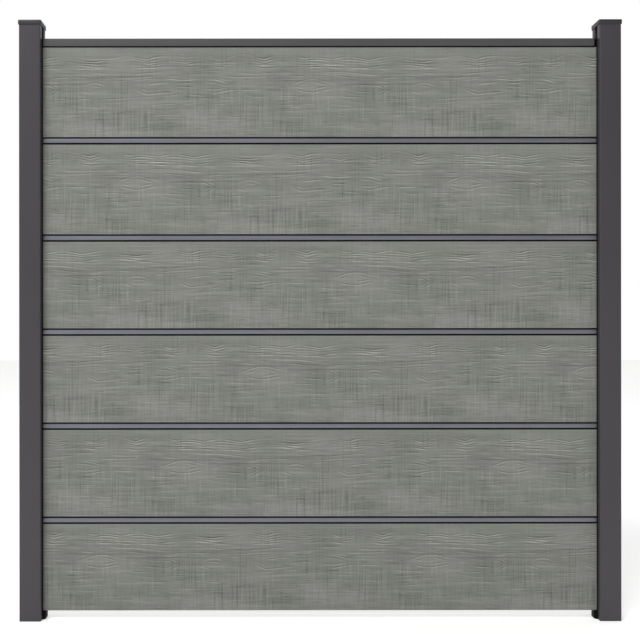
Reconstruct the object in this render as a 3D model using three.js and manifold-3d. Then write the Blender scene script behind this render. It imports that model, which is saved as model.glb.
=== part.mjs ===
// Garden privacy screen: one field of plug-in fence, 1.9 m wide and 1.9 m high.
// Six hollow composite boards stand on edge in the grooves of two extruded posts. A metal strip
// joins each board to the next by tongue and groove, and a rail closes the top board.
// Millimetres. X runs along the fence, Y to its back, Z up. The origin is on the ground, midway
// between the posts.
import * as THREE from "three";
import { mergeVertices } from "three/addons/utils/BufferGeometryUtils.js";
import Module from "manifold-3d";

const wasm = await Module();
wasm.setup();

// ---------------------------------------------------------------- driving dimensions
const clearOpening = 1770; // between the posts' inner faces
const seatGap = 0.3; // between a piece and what it sits on or slides in
const overcut = 1; // how far a cut runs past the face that it starts from

// posts
const postSize = 68;
const postStandout = 50.5; // how far a post stands above the rail
const postWall = 2.2;
const postCornerRadius = 3;
const postLengths = 2; // each wall is drawn in two lengths, the lower one clear of the cap
const channelDepth = 22; // the groove that takes the boards' ends
const channelMouthChamfer = 0.8;

// screw ports in the posts' corners, for a foot plate
const portBoreRadius = 2.1;
const portRingRadius = 4.2;
const portSlit = 1.6;

// T-slots in the groove's walls, and the gaskets in them
const slotSetback = 5.2; // from the post's inner face to the slot's middle
const slotMouth = 2.4;
const slotHead = 4.4;
const slotLip = 1.2;
const slotDepth = 3.2;
const gasketFin = 1.4; // thickness of the fin along the groove's wall, its sealing ribs included
const gasketRib = 0.5; // height of the sealing ribs
const gasketRibPitch = 2.2;
const gasketRibs = 3;
const gasketReach = 7.5; // how far the fin runs into the groove
const gasketNose = 1.5; // radius of the bead at the groove's mouth
const gasketShow = 3; // how far the bead stands out of the post

// caps
const capRimWall = 2.2; // thickness of the rim round the post
const capHeight = 14;
const capPlate = 2.5;
const capCornerRadius = 4;
const capBevel = 1.2;
const capLegLength = 20;
const capLegPortGap = 2.4; // from a leg's side to the screw port next to it
const capLegWall = 2;
const capLegLead = 4; // length of the taper at a leg's tip
const capRibHeight = 4;
const capRibWall = 1.5;

// boards
const boardThickness = 20;
const boardEndGap = 7; // from a board's end to the groove's floor
const lowerFace = 276; // the visible height of each of the lower boards
const upperFace = 286; // and of each of the upper ones
const lowerBoards = 4;
const upperBoards = 2;
const boardWall = 4;
const boardChambers = 6;
const chamberRadius = 1.5;
const boardEdge = 0.8; // chamfer along the faces' edges

// tongue and groove, the same on boards, strips and rail
const tongueThickness = 8;
const tongueSeat = 8.5; // how far a tongue goes into its groove
const tongueTip = 0.7; // chamfer of its tip

// joint strips
const stripFace = 13;
const stripWall = 1.5;
const stripEdge = 0.5;
const stripLegSetback = 0.5; // from the face's lower edge up to the inner legs
const shadowGap = 5.5; // open joint above and below a strip's face

// top rail and its end plugs
const railHeight = 24;
const railProud = 4; // how far the rail stands out over the boards' faces
const railWall = 1.8;
const railCornerRadius = 1.2;
const railGap = 3; // between the top board's face and the rail
const railLegSetback = 1.5; // from the rail's lower edge up to its inner legs
const railLegTip = 0.6; // chamfer of the inner legs' tips
const railPlay = 15; // how much shorter the rail is than the clear opening
const plugCollar = 1;
const plugCollarInset = 0.5; // the collar is this much smaller than the rail's section
const plugEndGap = 2.4; // from the left plug's end to the groove's floor
const plugSpigot = 14;
const plugSpigotWall = 2;

// support blocks under the lowest board
const blockHeight = 27.2;
const blockShow = 12.5; // how far a block stands out of the post
const blockShoulder = 8; // thickness of the shoulder against the post's inner face
const blockShoulderProud = 3; // how far the shoulder is wider than the groove, on each side
const blockCornerRadius = 6;
const blockEdge = 1.2;
const blockWall = 2.5;
const blockRoof = 6.2; // over the pockets

// fineness of the round forms
const curveSteps = 3;
const bevelSteps = 2;
const beadSteps = 8;
const cornerSteps = 4;
const mergeDistance = 1e-4; // vertices closer than this are one

// ---------------------------------------------------------------- derived sizes
const postFace = clearOpening / 2; // X of the right post's inner face
const boardHalf = boardThickness / 2;
const boardLength = clearOpening + 2 * (channelDepth - boardEndGap);
const channelHalf = boardHalf + gasketFin + 2 * seatGap;
const tongueHalf = tongueThickness / 2;
const grooveHalf = tongueHalf + seatGap;
const tongueHeight = shadowGap + tongueSeat;
const grooveDepth = tongueSeat + seatGap;
const jointHeight = stripFace + 2 * shadowGap;
const boardFaces = [...Array(lowerBoards).fill(lowerFace), ...Array(upperBoards).fill(upperFace)];
const firstBoard = blockHeight + seatGap;
const boardBottoms = boardFaces.map((_, i) =>
  boardFaces.slice(0, i).reduce((z, face) => z + face + jointHeight, firstBoard),
);
const topOfBoards = boardBottoms.at(-1) + boardFaces.at(-1);
const railBottom = topOfBoards + railGap;
const railTop = railBottom + railHeight;
const railDepth = boardThickness + 2 * railProud;
const railWeb = tongueHeight + seatGap - railGap; // the rail's web, above its lower edge
const railLength = clearOpening - railPlay;
const railEndLimit = postFace - gasketShow - plugCollar - 2 * seatGap;
const railShift = railLength / 2 - railEndLimit; // the rail sits at the left of its play
const postLength = railTop + postStandout;
const capSize = postSize + 2 * (seatGap + capRimWall);

// ---------------------------------------------------------------- materials
const finish = (color, roughness, metalness) => new THREE.MeshStandardMaterial({ color, roughness, metalness });
const powderCoat = finish(0x545358, 0.5, 0.3);
const railCoat = finish(0x585758, 0.5, 0.3);
const anodised = finish(0x757580, 0.4, 0.8);
const composite = finish(0x80827b, 0.8, 0);
const mouldedBlack = finish(0x101011, 0.5, 0);
const sealRubber = finish(0x141414, 0.85, 0);

// ---------------------------------------------------------------- helpers
const point = (x, y) => new THREE.Vector2(x, y);

// A shape from the points of its right half, in order from bottom or top middle, mirrored in X.
function mirroredShape(half) {
  const left = half.map((p) => point(-p.x, p.y)).reverse();
  return new THREE.Shape([...half, ...left]);
}

// Points along an arc.
function arcPoints(x, y, radius, from, to, steps = cornerSteps) {
  return Array.from({ length: steps + 1 }, (_, i) => {
    const angle = from + ((to - from) * i) / steps;
    return point(x + radius * Math.cos(angle), y + radius * Math.sin(angle));
  });
}

// A rectangle with rounded corners, drawn on a Shape or a Path.
function roundedRectangle(outline, left, bottom, right, top, radius) {
  outline.moveTo(left + radius, bottom);
  outline.absarc(right - radius, bottom + radius, radius, -Math.PI / 2, 0);
  outline.absarc(right - radius, top - radius, radius, 0, Math.PI / 2);
  outline.absarc(left + radius, top - radius, radius, Math.PI / 2, Math.PI);
  outline.absarc(left + radius, bottom + radius, radius, Math.PI, 1.5 * Math.PI);
  return outline;
}

const extrude = (shape, depth, options = {}) =>
  new THREE.ExtrudeGeometry(shape, { depth, bevelEnabled: false, curveSegments: curveSteps, ...options });

// An extrusion along X of a section drawn in Y and Z, starting at X = 0.
function extrudeAlongX(shape, length) {
  const turn = new THREE.Matrix4().makeBasis(
    new THREE.Vector3(0, 1, 0),
    new THREE.Vector3(0, 0, 1),
    new THREE.Vector3(1, 0, 0),
  );
  return extrude(shape, length).applyMatrix4(turn);
}

function toSolid(geometry) {
  const bare = geometry.index ? geometry.toNonIndexed() : geometry.clone();
  bare.deleteAttribute("normal");
  bare.deleteAttribute("uv");
  const merged = mergeVertices(bare, mergeDistance);
  return new wasm.Manifold(
    new wasm.Mesh({
      numProp: 3,
      vertProperties: merged.attributes.position.array,
      triVerts: new Uint32Array(merged.index.array),
    }),
  );
}

function toGeometry(solid) {
  const mesh = solid.getMesh();
  const geometry = new THREE.BufferGeometry();
  geometry.setAttribute("position", new THREE.BufferAttribute(mesh.vertProperties, 3));
  geometry.setIndex(new THREE.BufferAttribute(mesh.triVerts, 1));
  geometry.computeVertexNormals();
  return geometry;
}

// The first geometries joined, less the others.
function combine(joined, cut = []) {
  const whole = joined.map(toSolid).reduce((a, b) => a.add(b));
  return toGeometry(cut.map(toSolid).reduce((a, b) => a.subtract(b), whole));
}

function mesh(name, geometry, material, x = 0, y = 0, z = 0) {
  const made = new THREE.Mesh(geometry, material);
  made.name = name;
  made.position.set(x, y, z);
  return made;
}

// ---------------------------------------------------------------- post
// The section is drawn with its inner face on X = 0 and the groove open towards -X.

// One wall of the groove with its T-slot, from the mouth to the floor, on the side that sign gives.
function channelWall(sign) {
  const mouth = [slotSetback - slotMouth / 2, slotSetback + slotMouth / 2];
  const head = [slotSetback - slotHead / 2, slotSetback + slotHead / 2];
  return [
    [0, channelHalf + channelMouthChamfer],
    [channelMouthChamfer, channelHalf],
    [mouth[0], channelHalf],
    [mouth[0], channelHalf + slotLip],
    [head[0], channelHalf + slotLip],
    [head[0], channelHalf + slotDepth],
    [head[1], channelHalf + slotDepth],
    [head[1], channelHalf + slotLip],
    [mouth[1], channelHalf + slotLip],
    [mouth[1], channelHalf],
    [channelDepth, channelHalf],
  ].map(([x, y]) => point(x, sign * y));
}

// A C-shaped screw port in a corner of the chamber. Its slit faces the given angle.
function screwPort(outline, x, y, facing) {
  const quarter = Math.PI / 2;
  const slitOutside = Math.asin(portSlit / 2 / portRingRadius);
  const slitInside = Math.asin(portSlit / 2 / portBoreRadius);
  outline.absarc(x, y, portRingRadius, facing + 1.5 * quarter, facing + slitOutside, true);
  outline.absarc(x, y, portBoreRadius, facing + slitInside, facing + 4 * quarter - slitInside, false);
  outline.absarc(x, y, portRingRadius, facing - slitOutside, facing - 1.5 * quarter, true);
}

// The chamber wraps round the groove and the housings of its T-slots.
function postChamber() {
  const near = postWall;
  const far = postSize - postWall;
  const side = postSize / 2 - postWall;
  const housing = point(slotSetback + slotHead / 2 + postWall, channelHalf + slotDepth + postWall);
  const behind = point(channelDepth + postWall, channelHalf + postWall);
  const chamber = new THREE.Path();
  chamber.moveTo(behind.x, -behind.y);
  chamber.lineTo(housing.x, -behind.y);
  chamber.lineTo(housing.x, -housing.y);
  chamber.lineTo(near, -housing.y);
  screwPort(chamber, near + portRingRadius, -side + portRingRadius, Math.PI / 4);
  screwPort(chamber, far - portRingRadius, -side + portRingRadius, (3 * Math.PI) / 4);
  screwPort(chamber, far - portRingRadius, side - portRingRadius, (5 * Math.PI) / 4);
  screwPort(chamber, near + portRingRadius, side - portRingRadius, (7 * Math.PI) / 4);
  chamber.lineTo(near, housing.y);
  chamber.lineTo(housing.x, housing.y);
  chamber.lineTo(housing.x, behind.y);
  chamber.lineTo(behind.x, behind.y);
  return chamber;
}

function postGeometry() {
  const half = postSize / 2;
  const radius = postCornerRadius;
  const outline = new THREE.Shape();
  outline.moveTo(radius, -half);
  outline.absarc(postSize - radius, radius - half, radius, -Math.PI / 2, 0);
  outline.absarc(postSize - radius, half - radius, radius, 0, Math.PI / 2);
  outline.absarc(radius, half - radius, radius, Math.PI / 2, Math.PI);
  [...channelWall(1), ...channelWall(-1).reverse()].forEach((p) => outline.lineTo(p.x, p.y));
  outline.absarc(radius, radius - half, radius, Math.PI, 1.5 * Math.PI);
  outline.holes.push(postChamber());
  return extrude(outline, postLength, { steps: postLengths });
}

// ---------------------------------------------------------------- gasket
// Drawn for the rear wall of the groove: a head in the T-slot, a ribbed fin along the wall and a bead
// at the mouth. The front one is its mirror image.
function gasketGeometry(length) {
  const headHalf = slotHead / 2 - seatGap;
  const neckHalf = slotMouth / 2 - seatGap;
  const finOutside = channelHalf - seatGap;
  const ribTip = finOutside - gasketFin;
  const finInside = ribTip + gasketRib;
  const headStart = channelHalf + slotLip + seatGap;
  const headEnd = channelHalf + slotDepth - seatGap;
  const bead = point(gasketNose - gasketShow, ribTip + gasketNose);
  const beadEnd = Math.PI / 2;
  const ribs = Array.from({ length: gasketRibs }, (_, i) => {
    const x = gasketReach - gasketFin / 2 - (gasketRibs - 1 - i) * gasketRibPitch;
    return [point(x - gasketRib, finInside), point(x, ribTip), point(x + gasketRib, finInside)];
  }).flat();
  const outline = [
    ...ribs,
    point(gasketReach, finInside),
    point(gasketReach, finOutside - gasketFin / 2),
    point(gasketReach - gasketFin / 2, finOutside),
    point(slotSetback + neckHalf, finOutside),
    point(slotSetback + neckHalf, headStart),
    point(slotSetback + headHalf, headStart),
    point(slotSetback + neckHalf, headEnd),
    point(slotSetback - neckHalf, headEnd),
    point(slotSetback - headHalf, headStart),
    point(slotSetback - neckHalf, headStart),
    point(slotSetback - neckHalf, finOutside),
    point(channelMouthChamfer, finOutside),
    ...arcPoints(bead.x, bead.y, gasketNose, beadEnd, beadEnd + Math.PI, beadSteps),
  ];
  return extrude(new THREE.Shape(outline), length);
}

// ---------------------------------------------------------------- cap
// Drawn with its rim's lower edge on Z = 0, in the post's own X and Y.

// A leg against one wall of the chamber: its outer face at X = reach, tapered at the tip.
function capLeg(middle, width, reach, angle) {
  const top = capHeight - capPlate + seatGap;
  const tip = capHeight - capPlate - capLegLength;
  const profile = new THREE.Shape([
    point(reach - capLegWall, top),
    point(reach - capLegWall, tip),
    point(reach - capLegWall / 2, tip),
    point(reach, tip + capLegLead),
    point(reach, top),
  ]);
  const leg = extrude(profile, width);
  leg.translate(0, 0, -width / 2);
  leg.rotateX(Math.PI / 2);
  leg.rotateZ(angle);
  return leg.translate(middle, 0, 0);
}

// A stiffening rib under the plate, from one leg to the one opposite.
function capRib(middle, reach, angle) {
  const top = capHeight - capPlate + seatGap;
  const rib = new THREE.BoxGeometry(2 * reach - capLegWall, capRibWall, capRibHeight + seatGap);
  rib.translate(0, 0, top - (capRibHeight + seatGap) / 2);
  rib.rotateZ(angle);
  return rib.translate(middle, 0, 0);
}

function capGeometry() {
  const half = capSize / 2;
  const centre = postSize / 2;
  const outer = roundedRectangle(new THREE.Shape(), -half, -half, half, half, capCornerRadius);
  const body = extrude(outer, capHeight - 2 * capBevel, {
    bevelEnabled: true,
    bevelThickness: capBevel,
    bevelSize: capBevel,
    bevelOffset: -capBevel,
    bevelSegments: bevelSteps,
  });
  body.translate(centre, 0, capBevel);
  const inside = centre + seatGap;
  const pocketRadius = postCornerRadius + seatGap;
  const pocketShape = roundedRectangle(new THREE.Shape(), -inside, -inside, inside, inside, pocketRadius);
  const pocket = extrude(pocketShape, capHeight - capPlate + overcut).translate(centre, 0, -overcut);
  const chamberStart = channelDepth + postWall;
  const chamberEnd = postSize - postWall;
  const middle = (chamberStart + chamberEnd) / 2;
  const alongX = (chamberEnd - chamberStart) / 2 - seatGap;
  const alongY = centre - postWall - seatGap;
  const portStart = chamberEnd - 2 * portRingRadius;
  const width = 2 * (portStart - capLegPortGap - middle);
  const legs = [0, 1, 2, 3].map((i) => capLeg(middle, width, i % 2 ? alongY : alongX, (i * Math.PI) / 2));
  const ribs = [capRib(middle, alongX, 0), capRib(middle, alongY, Math.PI / 2)];
  const shell = toGeometry(toSolid(body).subtract(toSolid(pocket)));
  return combine([shell, ...legs, ...ribs]);
}

// ---------------------------------------------------------------- support block
// Drawn with the post's inner face on X = 0: a foot in the groove, a shoulder against the post and a
// nose under the board.

// A bar along X with a round lower corner at its start, bevelled all round.
function blockBar(start, end, half, height) {
  const radius = blockCornerRadius;
  const profile = new THREE.Shape();
  profile.moveTo(end, 0);
  profile.lineTo(end, height);
  profile.lineTo(start, height);
  profile.absarc(start + radius, radius, radius, Math.PI, 1.5 * Math.PI);
  const bar = extrude(profile, 2 * (half - blockEdge), {
    bevelEnabled: true,
    bevelThickness: blockEdge,
    bevelSize: blockEdge,
    bevelOffset: -blockEdge,
    bevelSegments: bevelSteps,
  });
  bar.rotateX(Math.PI / 2);
  return bar.translate(0, half - blockEdge, 0);
}

function blockGeometry() {
  const half = channelHalf - seatGap;
  const end = channelDepth - seatGap;
  const body = blockBar(-blockShow, end, half, blockHeight);
  const shoulderHalf = channelHalf + blockShoulderProud;
  const shoulder = blockBar(-blockShoulder, -seatGap, shoulderHalf, blockHeight - seatGap);
  // two pockets from below core out the part that stands in the groove
  const width = half - blockWall - blockWall / 2;
  const length = end - 2 * blockWall;
  const depth = blockHeight - blockRoof;
  const pockets = [-1, 1].map((side) => {
    const pocket = new THREE.BoxGeometry(length, width, depth + overcut);
    const y = (side * (width + blockWall)) / 2;
    return pocket.translate(blockWall + length / 2, y, (depth - overcut) / 2);
  });
  return combine([body, shoulder], pockets);
}

// ---------------------------------------------------------------- board
// Drawn with the lower edge of its face on Z = 0: a groove below, a tongue above, chambers between.
function boardGeometry(face) {
  const outline = mirroredShape([
    point(grooveHalf, grooveDepth),
    point(grooveHalf, boardEdge),
    point(grooveHalf + boardEdge, 0),
    point(boardHalf - boardEdge, 0),
    point(boardHalf, boardEdge),
    point(boardHalf, face - boardEdge),
    point(boardHalf - boardEdge, face),
    point(tongueHalf, face),
    point(tongueHalf, face + tongueHeight - tongueTip),
    point(tongueHalf - tongueTip, face + tongueHeight),
  ]);
  const start = grooveDepth + boardWall;
  const pitch = (face - start) / boardChambers;
  const half = boardHalf - boardWall;
  for (let i = 0; i < boardChambers; i++) {
    const low = start + i * pitch;
    const high = low + pitch - boardWall;
    outline.holes.push(roundedRectangle(new THREE.Path(), -half, low, half, high, chamberRadius));
  }
  return extrudeAlongX(outline, boardLength);
}

// ---------------------------------------------------------------- joint strip
// Drawn with the lower edge of its face on Z = 0. Two legs below straddle the lower board's tongue,
// and a hollow tongue above goes into the upper board's groove.
function stripGeometry() {
  const web = grooveDepth;
  const tip = stripFace + tongueHeight;
  const outline = mirroredShape([
    point(grooveHalf, web),
    point(grooveHalf, stripLegSetback + stripEdge),
    point(grooveHalf + stripEdge, stripLegSetback),
    point(grooveHalf + stripWall, stripLegSetback),
    point(grooveHalf + stripWall, web),
    point(boardHalf - stripWall, web),
    point(boardHalf - stripWall, 0),
    point(boardHalf - stripEdge, 0),
    point(boardHalf, stripEdge),
    point(boardHalf, stripFace - stripEdge),
    point(boardHalf - stripEdge, stripFace),
    point(boardHalf - stripWall, stripFace),
    point(boardHalf - stripWall, web + stripWall),
    point(tongueHalf, web + stripWall),
    point(tongueHalf, tip - tongueTip),
    point(tongueHalf - tongueTip, tip),
  ]);
  const inside = tongueHalf - stripWall;
  const low = web + stripWall;
  const high = tip - stripWall;
  outline.holes.push(roundedRectangle(new THREE.Path(), -inside, low, inside, high, stripEdge));
  return extrudeAlongX(outline, boardLength);
}

// ---------------------------------------------------------------- top rail
// Drawn with its lower edge on Z = 0. Two inner legs straddle the top board's tongue.
function railGeometry() {
  const half = railDepth / 2;
  const radius = railCornerRadius;
  const legTop = railWeb;
  const outline = mirroredShape([
    point(grooveHalf, legTop),
    point(grooveHalf, railLegSetback + railLegTip),
    point(grooveHalf + railLegTip, railLegSetback),
    point(grooveHalf + railWall, railLegSetback),
    point(grooveHalf + railWall, legTop),
    point(half - railWall, legTop),
    point(half - railWall, 0),
    point(half, 0),
    ...arcPoints(half - radius, railHeight - radius, radius, 0, Math.PI / 2),
  ]);
  const inside = half - railWall;
  const top = railHeight - railWall;
  outline.holes.push(roundedRectangle(new THREE.Path(), -inside, legTop + railWall, inside, top, radius / 2));
  return extrudeAlongX(outline, railLength);
}

// ---------------------------------------------------------------- rail end plug
// Drawn for the rail's right end, with the rail's end on X = 0 and its lower edge on Z = 0. A slot from
// below clears the top board's tongue.
function plugGeometry() {
  const slot = railWeb;
  const bottom = plugCollarInset;
  const top = railHeight - plugCollarInset;
  const bridge = (half, high) =>
    mirroredShape([point(grooveHalf, slot), point(grooveHalf, bottom), point(half, bottom), point(half, high)]);
  const collarHalf = railDepth / 2 - plugCollarInset;
  const collar = extrudeAlongX(bridge(collarHalf, top), plugCollar).translate(seatGap, 0, 0);
  const tongueTop = top - plugCollarInset;
  const tongueStart = seatGap + plugCollar / 2;
  const tongueEnd = postFace + channelDepth - plugEndGap - railEndLimit;
  const tongue = extrudeAlongX(bridge(boardHalf, tongueTop), tongueEnd - tongueStart).translate(tongueStart, 0, 0);
  const spigotHalf = railDepth / 2 - railWall - seatGap;
  const spigotLow = railWeb + railWall + seatGap;
  const spigotHigh = railHeight - railWall - seatGap;
  const box = (half, low, high) => mirroredShape([point(half, low), point(half, high)]);
  const spigot = extrudeAlongX(box(spigotHalf, spigotLow, spigotHigh), plugSpigot + plugCollar);
  const wall = plugSpigotWall;
  const core = extrudeAlongX(box(spigotHalf - wall, spigotLow + wall, spigotHigh - wall), plugSpigot);
  return combine(
    [collar, tongue, spigot.translate(seatGap - plugSpigot, 0, 0)],
    [core.translate(seatGap - plugSpigot - wall, 0, 0)],
  );
}

// ---------------------------------------------------------------- assembly
const privacyScreen = new THREE.Group();
privacyScreen.name = "garden_privacy_screen";

// Each post carries its cap, gaskets and support block. The left one mirrors the right one.
for (const [side, mirror] of [["left", -1], ["right", 1]]) {
  const postGroup = new THREE.Group();
  const gasketLength = railTop - firstBoard;
  const rearGasket = mesh(side + "_rear_gasket", gasketGeometry(gasketLength), sealRubber, 0, 0, firstBoard);
  const frontGasket = mesh(side + "_front_gasket", gasketGeometry(gasketLength), sealRubber, 0, 0, firstBoard);
  frontGasket.scale.y = -1;
  const capZ = postLength + seatGap + capPlate - capHeight;
  postGroup.add(
    mesh(side + "_post", postGeometry(), powderCoat),
    mesh(side + "_post_cap", capGeometry(), powderCoat, 0, 0, capZ),
    mesh(side + "_support_block", blockGeometry(), mouldedBlack),
    frontGasket,
    rearGasket,
  );
  postGroup.position.x = mirror * postFace;
  postGroup.scale.x = mirror;
  privacyScreen.add(postGroup);
}

// The boards and strips fill the opening from the bottom up.
const infill = new THREE.Group();
infill.position.x = -boardLength / 2;
boardFaces.forEach((face, i) => {
  infill.add(mesh(`board_${i + 1}`, boardGeometry(face), composite, 0, 0, boardBottoms[i]));
  if (i + 1 === boardFaces.length) return;
  const stripZ = boardBottoms[i] + face + shadowGap;
  infill.add(mesh(`joint_strip_${i + 1}`, stripGeometry(), anodised, 0, 0, stripZ));
});
privacyScreen.add(infill);

// The rail closes the top board between the posts.
const railGroup = new THREE.Group();
railGroup.position.set(railShift, 0, railBottom);
railGroup.add(mesh("top_rail", railGeometry(), railCoat, -railLength / 2));
for (const [side, mirror] of [["left", -1], ["right", 1]]) {
  const plug = mesh(side + "_rail_end_plug", plugGeometry(), mouldedBlack, (mirror * railLength) / 2);
  plug.scale.x = mirror;
  railGroup.add(plug);
}
privacyScreen.add(railGroup);

export default privacyScreen;
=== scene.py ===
"""Garden privacy screen: the visible pieces of one field of plug-in fence, built around its frame.

Lengths are millimetres until a mesh is made, and the meshes are in metres. X runs along the fence,
Y to its back and Z up.
"""
import math

import bmesh
import bpy
import numpy as np
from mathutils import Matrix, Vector
from mathutils.geometry import tessellate_polygon


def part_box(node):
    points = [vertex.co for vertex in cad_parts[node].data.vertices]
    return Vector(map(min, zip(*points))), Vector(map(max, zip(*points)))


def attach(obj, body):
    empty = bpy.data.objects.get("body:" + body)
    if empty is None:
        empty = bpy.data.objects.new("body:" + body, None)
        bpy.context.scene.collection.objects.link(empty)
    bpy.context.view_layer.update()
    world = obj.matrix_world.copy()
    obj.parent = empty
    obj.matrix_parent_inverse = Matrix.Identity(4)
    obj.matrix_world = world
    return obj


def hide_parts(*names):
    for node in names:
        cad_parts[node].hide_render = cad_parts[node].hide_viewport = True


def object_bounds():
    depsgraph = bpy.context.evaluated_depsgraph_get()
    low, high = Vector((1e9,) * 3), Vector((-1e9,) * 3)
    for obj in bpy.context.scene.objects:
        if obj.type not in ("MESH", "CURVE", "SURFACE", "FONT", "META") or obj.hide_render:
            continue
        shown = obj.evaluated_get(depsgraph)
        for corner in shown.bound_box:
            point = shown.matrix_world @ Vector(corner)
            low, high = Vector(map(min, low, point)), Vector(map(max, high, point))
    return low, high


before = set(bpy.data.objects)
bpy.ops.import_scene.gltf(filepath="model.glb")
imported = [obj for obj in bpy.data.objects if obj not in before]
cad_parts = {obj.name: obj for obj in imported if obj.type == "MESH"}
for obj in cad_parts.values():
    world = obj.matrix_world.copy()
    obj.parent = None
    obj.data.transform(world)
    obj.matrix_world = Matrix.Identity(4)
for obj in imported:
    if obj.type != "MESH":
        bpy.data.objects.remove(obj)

bl_info = {
    "name": "Garden Privacy Screen",
    "version": (1, 0, 0),
    "blender": (4, 5, 0),
    "location": "3D Viewport > Sidebar > Privacy Screen",
    "description": "Builds the posts, boards, strips and fittings of a plug-in fence field",
    "category": "Add Mesh",
}

CAD_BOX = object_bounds()
MM = 0.001
SIDES = {"left": -1, "right": 1}
BOARDS = [f"board_{i}" for i in range(1, 7)]
STRIPS = [f"joint_strip_{i}" for i in range(1, 6)]

# ---------------------------------------------------------------- sizes, in millimetres
SEAT_GAP = 0.3
# posts
POST_WALL = 2.2
POST_CORNER_RADIUS = 3.0
CHANNEL_HALF = 12.0
CHANNEL_DEPTH = 22.0
CHANNEL_MOUTH_RADIUS = 0.8
SLOT_SETBACK = 5.2
SLOT_MOUTH = 2.4
SLOT_HEAD = 4.4
SLOT_LIP = 1.2
SLOT_DEPTH = 3.2
PORT_BORE_RADIUS = 2.1
PORT_RING_RADIUS = 4.2
PORT_SLIT = 1.6
PORT_RING_TURN = 135  # degrees of the ring on each side of its slit, the rest is the post's walls
# gaskets
GASKET_FIN = 1.4
GASKET_RIB = 0.5
GASKET_RIB_PITCH = 2.2
GASKET_RIBS = 3
GASKET_REACH = 7.5
GASKET_NOSE = 1.5
# tongue and groove
TONGUE_HALF = 4.0
TONGUE_TIP = 0.7
GROOVE_HALF = TONGUE_HALF + SEAT_GAP
TONGUE_SEAT = 8.5
GROOVE_DEPTH = TONGUE_SEAT + SEAT_GAP
SHADOW_GAP = 5.5
TONGUE_HEIGHT = SHADOW_GAP + TONGUE_SEAT
# boards
BOARD_EDGE = 0.8
BOARD_WALL = 4.0
BOARD_CHAMBERS = 6
CHAMBER_RADIUS = 1.5
# strips
STRIP_FACE = 13.0
STRIP_WALL = 1.5
STRIP_EDGE = 0.5
# rail
RAIL_WALL = 1.8
RAIL_CORNER_RADIUS = 1.2
RAIL_LEG_SETBACK = 1.5
RAIL_LEG_TIP = 0.6
RAIL_GAP = 3.0
RAIL_WEB = TONGUE_HEIGHT + SEAT_GAP - RAIL_GAP
# moulded pieces
MOULDED_EDGE = 0.35


# ---------------------------------------------------------------- colours
def linear(code):
    """An sRGB hex colour such as "#84857e" as linear red, green and blue."""
    channels = (int(code[i:i + 2], 16) / 255 for i in (1, 3, 5))
    return tuple(c / 12.92 if c <= 0.04045 else ((c + 0.055) / 1.055) ** 2.4 for c in channels)


# ---------------------------------------------------------------- settings
class BoardSettings(bpy.types.PropertyGroup):
    """The co-extruded composite boards."""

    face_colour: bpy.props.FloatVectorProperty(
        name="Face colour", description="Weathered grey of the capped faces",
        subtype="COLOR", default=linear("#787b74"))
    patch_colour: bpy.props.FloatVectorProperty(
        name="Patch colour", description="The warmer grey that the faces drift to here and there",
        subtype="COLOR", default=linear("#7e7e7a"))
    # painted shade and highlight: the groove colour darkens each pressed grain line and the lip colour
    # lightens the lip below it, as light from above would
    groove_shade_colour: bpy.props.FloatVectorProperty(
        name="Groove colour", description="The cap layer where the roller pressed the grain in",
        subtype="COLOR", default=linear("#494a44"))
    lip_highlight_colour: bpy.props.FloatVectorProperty(
        name="Lip colour", description="The paler lip under each grain line",
        subtype="COLOR", default=linear("#adafa4"))
    # partly painted shade: the bare core is really darker than the cap, and is made near black so the
    # shadow gaps in the joints read dark
    core_and_gap_shade_colour: bpy.props.FloatVectorProperty(
        name="Core colour", description="Bare composite on tongue, groove and cut ends",
        subtype="COLOR", default=linear("#1a1917"))
    grain_depth: bpy.props.FloatProperty(
        name="Grain depth", description="Deepest grain line",
        unit="LENGTH", default=0.00045, min=0, max=0.0006)
    roller_turn: bpy.props.FloatProperty(
        name="Roller turn", description="Length after which the embossed grain repeats",
        unit="LENGTH", default=1.05, min=0.3)


class MetalSettings(bpy.types.PropertyGroup):
    """Posts, rail, caps and strips."""

    post_colour: bpy.props.FloatVectorProperty(
        name="Post colour", description="Powder coat of the posts",
        subtype="COLOR", default=linear("#3d3a3f"))
    rail_colour: bpy.props.FloatVectorProperty(
        name="Rail colour", description="Powder coat of the top rail",
        subtype="COLOR", default=linear("#484748"))
    cap_colour: bpy.props.FloatVectorProperty(
        name="Cap colour", description="Moulded post caps",
        subtype="COLOR", default=linear("#2d2b2e"))
    strip_colour: bpy.props.FloatVectorProperty(
        name="Strip colour", description="Anodised joint strips",
        subtype="COLOR", default=linear("#85858f"))


class StageSettings(bpy.types.PropertyGroup):
    """Floor, light and camera."""

    floor_colour: bpy.props.FloatVectorProperty(
        name="Floor colour", description="Plain pale floor",
        subtype="COLOR", default=linear("#f4f4f3"))
    key_power: bpy.props.FloatProperty(
        name="Key light", description="Power of the large soft light above the front",
        unit="POWER", default=810.0)
    front_ambient: bpy.props.FloatProperty(
        name="Front ambient", description="Brightness of the room in front of the screen",
        default=0.22, min=0)
    backdrop: bpy.props.FloatProperty(
        name="Backdrop", description="Brightness of the white backdrop behind the screen",
        default=0.8, min=0)
    camera_distance: bpy.props.FloatProperty(
        name="Camera distance", description="From the posts' front to the camera",
        unit="LENGTH", default=2.9)


# ---------------------------------------------------------------- outlines
def arc(x, y, radius, start, end, steps):
    """Points along an arc, angles in degrees."""
    angles = np.radians(np.linspace(start, end, steps + 1))
    return [(x + radius * math.cos(a), y + radius * math.sin(a)) for a in angles]


def rounded_box(left, bottom, right, top, radius):
    """A rectangle with round corners."""
    return [
        *arc(right - radius, bottom + radius, radius, -90, 0, steps=3),
        *arc(right - radius, top - radius, radius, 0, 90, steps=3),
        *arc(left + radius, top - radius, radius, 90, 180, steps=3),
        *arc(left + radius, bottom + radius, radius, 180, 270, steps=3),
    ]


def mirrored(half):
    """A closed outline from its half at positive values, in order from one end of the mirror line."""
    return [*half, *[(-x, y) for x, y in reversed(half)]]


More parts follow.
